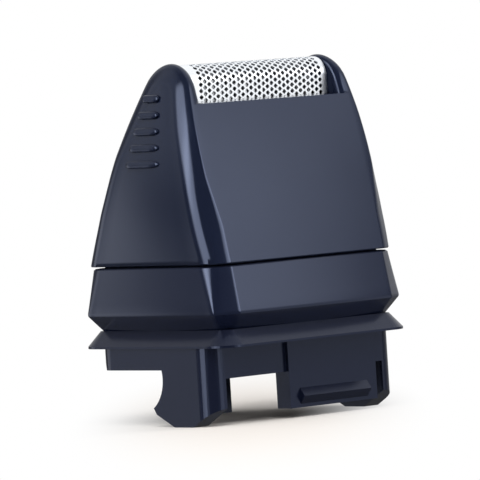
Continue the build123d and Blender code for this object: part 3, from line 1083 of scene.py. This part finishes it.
class EffectLibrary:
    """Builds each shared effect once, as a group of shader nodes."""

    def __init__(self) -> None:
        """Build the group of each effect."""
        self.groups = {
            Effect.MOULDED: self.moulded(),
            Effect.DUST: self.dust(),
            Effect.DRAWN: self.drawn(),
        }

    def start(self, effect: Effect, inputs: dict, outputs: dict) -> tuple:
        """Start a group with its inputs and outputs.

        Args:
            effect: Effect that the group makes.
            inputs: Socket type and first value of each input, by name.
            outputs: Socket type of each output, by name.

        Returns:
            The wiring of the group, its input node and its output node.
        """
        tree = bpy.data.node_groups.new(effect.value, "ShaderNodeTree")
        for name, (kind, value) in inputs.items():
            socket = tree.interface.new_socket(name=name, in_out="INPUT", socket_type=kind)
            socket.default_value = value
        for name, kind in outputs.items():
            tree.interface.new_socket(name=name, in_out="OUTPUT", socket_type=kind)
        wiring = Wiring(tree)
        return wiring, wiring.add("NodeGroupInput"), wiring.add("NodeGroupOutput")

    def moulded(self) -> bpy.types.NodeTree:
        """Faint moulding waves and smudges on plastic.

        The roughness is the given one plus centred noise times the smudge, and broad noise is the bump.

        Returns:
            The group.
        """
        inputs = {"Roughness": ("NodeSocketFloat", 0.2), "Wave": ("NodeSocketFloat", 0.1),
                  "Smudge": ("NodeSocketFloat", 0.05)}
        outputs = {"Roughness": "NodeSocketFloat", "Normal": "NodeSocketVector"}
        wiring, given, result = self.start(Effect.MOULDED, inputs, outputs)
        place = wiring.add("ShaderNodeTexCoord")
        smudge = wiring.add("ShaderNodeTexNoise", Scale=140.0, Detail=4.0, Roughness=0.6)
        wiring.join(place.outputs["Object"], smudge.inputs["Vector"])
        centred = wiring.combine("SUBTRACT", smudge.outputs["Fac"], 0.5)
        spread = wiring.combine("MULTIPLY", centred, given.outputs["Smudge"])
        wiring.join(wiring.combine("ADD", spread, given.outputs["Roughness"]), result.inputs["Roughness"])
        wave = wiring.add("ShaderNodeTexNoise", Scale=90.0, Detail=1.0)
        wiring.join(place.outputs["Object"], wave.inputs["Vector"])
        bump = wiring.add("ShaderNodeBump", Distance=0.0004)
        wiring.join(given.outputs["Wave"], bump.inputs["Strength"])
        wiring.join(wave.outputs["Fac"], bump.inputs["Height"])
        wiring.join(bump.outputs["Normal"], result.inputs["Normal"])
        return wiring.tree

    def dust(self) -> bpy.types.NodeTree:
        """A thin veil of dust: a pale colour mixed in by how far a face looks up, times noise and the amount.

        Returns:
            The group.
        """
        inputs = {"Colour": ("NodeSocketColor", (0.0, 0.0, 0.0, 1.0)), "Amount": ("NodeSocketFloat", 0.03)}
        wiring, given, result = self.start(Effect.DUST, inputs, {"Colour": "NodeSocketColor"})
        place = wiring.add("ShaderNodeTexCoord")
        speck = wiring.add("ShaderNodeTexNoise", Scale=1500.0, Detail=3.0)
        wiring.join(place.outputs["Object"], speck.inputs["Vector"])
        facing = wiring.add("ShaderNodeNewGeometry")
        split = wiring.add("ShaderNodeSeparateXYZ")
        wiring.join(facing.outputs["Normal"], split.inputs[0])
        upward = wiring.add("ShaderNodeMapRange", {"interpolation_type": "SMOOTHSTEP"},
                            From_Min=0.2, From_Max=1.0)
        wiring.join(split.outputs["Z"], upward.inputs["Value"])
        share = wiring.combine("MULTIPLY", upward.outputs["Result"], speck.outputs["Fac"])
        share = wiring.combine("MULTIPLY", share, given.outputs["Amount"])
        mix = wiring.add("ShaderNodeMix", {"data_type": "RGBA"})
        colours = [socket for socket in mix.inputs if socket.type == "RGBA"]
        colours[1].default_value = (0.45, 0.44, 0.42, 1.0)
        wiring.join(share, mix.inputs["Factor"])
        wiring.join(given.outputs["Colour"], colours[0])
        mixed = [socket for socket in mix.outputs if socket.type == "RGBA"]
        wiring.join(mixed[0], result.inputs["Colour"])
        return wiring.tree

    def drawn(self) -> bpy.types.NodeTree:
        """Fine drawing lines along X on metal: noise stretched along X changes the roughness and the bump.

        Returns:
            The group.
        """
        inputs = {"Roughness": ("NodeSocketFloat", 0.3), "Lines": ("NodeSocketFloat", 0.1)}
        outputs = {"Roughness": "NodeSocketFloat", "Normal": "NodeSocketVector"}
        wiring, given, result = self.start(Effect.DRAWN, inputs, outputs)
        place = wiring.add("ShaderNodeTexCoord")
        stretch = wiring.add("ShaderNodeMapping", Scale=(150.0, 6000.0, 6000.0))
        wiring.join(place.outputs["Object"], stretch.inputs["Vector"])
        lines = wiring.add("ShaderNodeTexNoise", Scale=1.0, Detail=2.0)
        wiring.join(stretch.outputs["Vector"], lines.inputs["Vector"])
        centred = wiring.combine("SUBTRACT", lines.outputs["Fac"], 0.5)
        spread = wiring.combine("MULTIPLY", centred, given.outputs["Lines"])
        wiring.join(wiring.combine("ADD", spread, given.outputs["Roughness"]), result.inputs["Roughness"])
        bump = wiring.add("ShaderNodeBump", Distance=0.00002)
        wiring.join(given.outputs["Lines"], bump.inputs["Strength"])
        wiring.join(lines.outputs["Fac"], bump.inputs["Height"])
        wiring.join(bump.outputs["Normal"], result.inputs["Normal"])
        return wiring.tree


@dataclass(frozen=True)
class PlasticFinish:
    """Moulded plastic with a clear gloss."""

    name: str
    colour: tuple
    roughness: float
    wave: float = 0.05
    smudge: float = 0.06
    dust: float = 0.02
    tint: tuple = (0.6, 0.7, 1.0)
    specular: float = 0.5

    def build(self, effects: EffectLibrary) -> bpy.types.Material:
        """Make the material.

        Args:
            effects: The shared effects.

        Returns:
            The new material.
        """
        material = bpy.data.materials.new(self.name)
        material.use_nodes = True
        wiring = Wiring(material.node_tree)
        shader = material.node_tree.nodes["Principled BSDF"]
        shader.inputs["Specular Tint"].default_value = (*self.tint, 1.0)
        shader.inputs["Specular IOR Level"].default_value = self.specular
        skin = wiring.add("ShaderNodeGroup", {"node_tree": effects.groups[Effect.MOULDED]},
                          Roughness=self.roughness, Wave=self.wave, Smudge=self.smudge)
        veil = wiring.add("ShaderNodeGroup", {"node_tree": effects.groups[Effect.DUST]},
                          Colour=(*self.colour, 1.0), Amount=self.dust)
        wiring.join(veil.outputs["Colour"], shader.inputs["Base Color"])
        wiring.join(skin.outputs["Roughness"], shader.inputs["Roughness"])
        wiring.join(skin.outputs["Normal"], shader.inputs["Normal"])
        return material


@dataclass(frozen=True)
class SteelFinish:
    """Bare steel with fine drawing lines."""

    name: str
    colour: tuple
    roughness: float
    lines: float = 0.1

    def build(self, effects: EffectLibrary) -> bpy.types.Material:
        """Make the material.

        Args:
            effects: The shared effects.

        Returns:
            The new material.
        """
        material = bpy.data.materials.new(self.name)
        material.use_nodes = True
        wiring = Wiring(material.node_tree)
        shader = material.node_tree.nodes["Principled BSDF"]
        shader.inputs["Metallic"].default_value = 1.0
        shader.inputs["Base Color"].default_value = (*self.colour, 1.0)
        drawn = wiring.add("ShaderNodeGroup", {"node_tree": effects.groups[Effect.DRAWN]},
                           Roughness=self.roughness, Lines=self.lines)
        wiring.join(drawn.outputs["Roughness"], shader.inputs["Roughness"])
        wiring.join(drawn.outputs["Normal"], shader.inputs["Normal"])
        return material


@dataclass(frozen=True)
class PhotoCamera:
    """Camera at the photograph's angle: angles in degrees, lengths in millimetres."""

    azimuth: float = -42.0
    elevation: float = 1.98
    roll: float = 3.68
    distance: float = 648.0
    pixels_per_mm: float = 8.92
    target_height: float = 19.13
    shift_up: float = 0.65
    frame_pixels: float = 480.0
    sensor: float = 36.0

    def build(self) -> None:
        """Make the camera and set it as the scene's camera.

        It stands back from the target by the azimuth and the elevation, and its axes turn by the roll.
        """
        turn, rise, roll = (math.radians(angle) for angle in (self.azimuth, self.elevation, self.roll))
        back = Vector((math.sin(turn) * math.cos(rise), -math.cos(turn) * math.cos(rise), math.sin(rise)))
        level = Vector((math.cos(turn), math.sin(turn), 0.0))
        upright = back.cross(level)
        right = level * math.cos(roll) - upright * math.sin(roll)
        up = level * math.sin(roll) + upright * math.cos(roll)
        place = back * self.distance + up * self.shift_up
        place.z += self.target_height
        lens = bpy.data.cameras.new("photo_camera")
        lens.sensor_width = self.sensor
        lens.lens = self.pixels_per_mm * self.distance / self.frame_pixels * self.sensor
        lens.clip_start = 0.01
        lens.clip_end = 100.0
        camera = bpy.data.objects.new("photo_camera", lens)
        axes = Matrix((right, up, back)).transposed().to_4x4()
        camera.matrix_world = Matrix.Translation(place * MM) @ axes
        bpy.context.scene.collection.objects.link(camera)
        bpy.context.scene.camera = camera


@dataclass(frozen=True)
class SoftLight:
    """A soft patch of the surround that shows in reflections.

    Its light starts and is full at two cosines of the angle from its direction, and reaches its level there.
    """

    direction: tuple
    start: float
    full: float
    level: float


@dataclass(frozen=True)
class Studio:
    """Plain pale floor, soft lamps and a pale surround with soft patches of light."""

    floor_half: float = 3.0
    floor_colour: tuple = (0.86, 0.815, 0.77, 1.0)
    floor_turn: float = -42.0
    floor_stretch: tuple = (1.0, 5.0, 1.0)
    near_radius: float = 0.004
    far_radius: float = 0.021
    ambient: float = 0.45
    reflected: float = 0.16
    lamp_aim: tuple = (0.0, 0.0, 0.02)
    patches: tuple = (
        SoftLight((0.44, -0.83, 0.36), 0.9, 0.992, 2.55),
        SoftLight((0.55, 0.25, 0.8), 0.35, 0.9, 0.9),
        SoftLight((-0.99, 0.05, 0.1), 0.935, 0.982, 4.6),
        SoftLight((-0.9, 0.25, 0.36), 0.951, 0.99, 4.6),
        SoftLight((0.15, -0.96, 0.2), 0.94, 0.985, 4.0),
        SoftLight((-0.6, 0.72, 0.42), 0.9, 0.985, 0.5),
        SoftLight((-0.47, 0.88, -0.12), 0.954, 0.9975, 1.35),
        SoftLight((0.669, -0.743, -0.25), 0.9, 0.97, 0.6),
        SoftLight((-0.5, 0.86, 0.0), 0.9, 0.97, 0.2),
    )

    def build(self) -> None:
        """Make the floor, the lamps and the surround."""
        self.floor()
        self.lamp("high_lamp", place=(-0.25, -0.28, 0.5), size=(0.4, 0.4), power=2.2)
        self.lamp("left_lamp", place=(-0.45, -0.05, 0.25), size=(0.25, 0.3), power=0.7)
        self.lamp("right_lamp", place=(0.35, -0.35, 0.25), size=(0.2, 0.35), power=1.0)
        self.surround()
        bpy.context.scene.view_settings.view_transform = "Standard"

    def floor(self) -> None:
        """A wide plane that shows the shadow near the object and turns plain white further away.

        The share of white grows with the distance from the middle, measured on a turned, stretched ellipse.
        """
        half = self.floor_half
        corners = [(-half, -half, 0), (half, -half, 0), (half, half, 0), (-half, half, 0)]
        mesh = bpy.data.meshes.new("floor")
        mesh.from_pydata(corners, [], [(0, 1, 2, 3)])
        floor = bpy.data.objects.new("floor", mesh)
        floor.visible_glossy = False
        bpy.context.scene.collection.objects.link(floor)
        material = bpy.data.materials.new("floor_white")
        material.use_nodes = True
        material.node_tree.nodes.clear()
        wiring = Wiring(material.node_tree)
        place = wiring.add("ShaderNodeTexCoord")
        distance = wiring.add("ShaderNodeVectorMath", {"operation": "LENGTH"})
        turned = wiring.add("ShaderNodeMapping", {"vector_type": "TEXTURE"}, Scale=self.floor_stretch,
                            Rotation=(0.0, 0.0, math.radians(self.floor_turn)))
        wiring.join(place.outputs["Object"], turned.inputs["Vector"])
        wiring.join(turned.outputs["Vector"], distance.inputs[0])
        fade = wiring.add("ShaderNodeMapRange", {"interpolation_type": "SMOOTHSTEP"},
                          From_Min=self.near_radius, From_Max=self.far_radius)
        wiring.join(distance.outputs["Value"], fade.inputs["Value"])
        path = wiring.add("ShaderNodeLightPath")
        share = wiring.combine("MULTIPLY", path.outputs["Is Camera Ray"], fade.outputs["Result"])
        diffuse = wiring.add("ShaderNodeBsdfDiffuse", Color=self.floor_colour)
        glow = wiring.add("ShaderNodeEmission", Color=(1.0, 1.0, 1.0, 1.0), Strength=1.0)
        mix = wiring.add("ShaderNodeMixShader")
        out = wiring.add("ShaderNodeOutputMaterial")
        wiring.join(share, mix.inputs["Fac"])
        wiring.join(diffuse.outputs[0], mix.inputs[1])
        wiring.join(glow.outputs[0], mix.inputs[2])
        wiring.join(mix.outputs[0], out.inputs["Surface"])
        mesh.materials.append(material)

    def lamp(self, name: str, place: tuple, size: tuple, power: float) -> None:
        """A rectangular soft lamp that faces the object and doesn't show in reflections.

        Args:
            name: Name of the lamp.
            place: Where it stands, in metres.
            size: Its width and height, in metres.
            power: Its power in watts.
        """
        light = bpy.data.lights.new(name, "AREA")
        light.shape = "RECTANGLE"
        light.size, light.size_y = size
        light.energy = power
        lamp = bpy.data.objects.new(name, light)
        lamp.visible_glossy = False
        facing = (Vector(self.lamp_aim) - Vector(place)).to_track_quat("-Z", "Y")
        lamp.matrix_world = Matrix.Translation(place) @ facing.to_matrix().to_4x4()
        bpy.context.scene.collection.objects.link(lamp)

    def surround(self) -> None:
        """White towards the camera, soft patches in reflections, and an even level as a light.

        A reflection shows the sum of an even level and of each patch's light.
        """
        world = bpy.data.worlds.new("surround")
        world.use_nodes = True
        bpy.context.scene.world = world
        world.node_tree.nodes.clear()
        wiring = Wiring(world.node_tree)
        place = wiring.add("ShaderNodeTexCoord")
        total = self.reflected
        for patch in self.patches:
            facing = wiring.add("ShaderNodeVectorMath", {"operation": "DOT_PRODUCT"})
            facing.inputs[1].default_value = Vector(patch.direction).normalized()
            wiring.join(place.outputs["Generated"], facing.inputs[0])
            soft = wiring.add("ShaderNodeMapRange", {"interpolation_type": "SMOOTHSTEP"},
                              From_Min=patch.start, From_Max=patch.full, To_Max=patch.level)
            wiring.join(facing.outputs["Value"], soft.inputs["Value"])
            total = wiring.combine("ADD", soft.outputs["Result"], total)
        path = wiring.add("ShaderNodeLightPath")
        mirror = wiring.combine("MULTIPLY", path.outputs["Is Glossy Ray"], total)
        seen = wiring.combine("MAXIMUM", path.outputs["Is Camera Ray"], path.outputs["Is Glossy Ray"])
        unseen = wiring.combine("SUBTRACT", 1.0, seen)
        strength = wiring.combine("ADD", mirror, path.outputs["Is Camera Ray"])
        strength = wiring.combine("ADD", strength, wiring.combine("MULTIPLY", unseen, self.ambient))
        back = wiring.add("ShaderNodeBackground", Color=(1.0, 1.0, 1.0, 1.0))
        wiring.join(strength, back.inputs["Strength"])
        out = wiring.add("ShaderNodeOutputWorld")
        wiring.join(back.outputs[0], out.inputs["Surface"])


def main() -> None:
    """Build the scene piece by piece."""
    logging.basicConfig(level=logging.INFO, format="%(name)s: %(message)s")
    PhotoCamera().build()
    Studio().build()
    effects = EffectLibrary()
    navy = PlasticFinish("navy_gloss", (0.0055, 0.0085, 0.022), 0.15).build(effects)
    base_navy = PlasticFinish("navy_band", (0.0055, 0.008, 0.021), 0.16).build(effects)
    # The rim behind the seam: darker and duller than the band, painted shade that makes the seam's gap read
    # dark.
    seam_shade_navy = PlasticFinish("navy_matt_seam_shade", (0.003, 0.004, 0.009), 0.75, specular=0.1).build(effects)
    # The coupling's satin plastic, made darker and given weaker reflections as painted shade for the dark
    # surroundings its legs reflect.
    coupling_navy_shaded = PlasticFinish("navy_satin_shaded", (0.0055, 0.0075, 0.019), 0.2, specular=0.36).build(effects)
    inner_grey = PlasticFinish("inner_grey", (0.5, 0.5, 0.48), 0.45).build(effects)
    foil = SteelFinish("foil_steel", (0.91, 0.94, 0.98), 0.3, 0.05).build(effects)
    blade = SteelFinish("blade_steel", (0.5, 0.51, 0.53), 0.35).build(effects)
    rod = SteelFinish("rod_steel", (0.68, 0.68, 0.7), 0.22).build(effects)
    spring = SteelFinish("spring_steel", (0.6, 0.6, 0.62), 0.28).build(effects)
    screw = SteelFinish("screw_steel", (0.55, 0.55, 0.57), 0.32).build(effects)
    CapShell(navy).build()
    FoilSheet(foil).build()
    BaseBand(base_navy, seam_shade_navy).build()
    CouplingBase(coupling_navy_shaded).build()
    CutterSprings(spring).build()
    InnerWorks(inner_grey, blade, rod, screw).build()


if __name__ == "__main__":
    main()
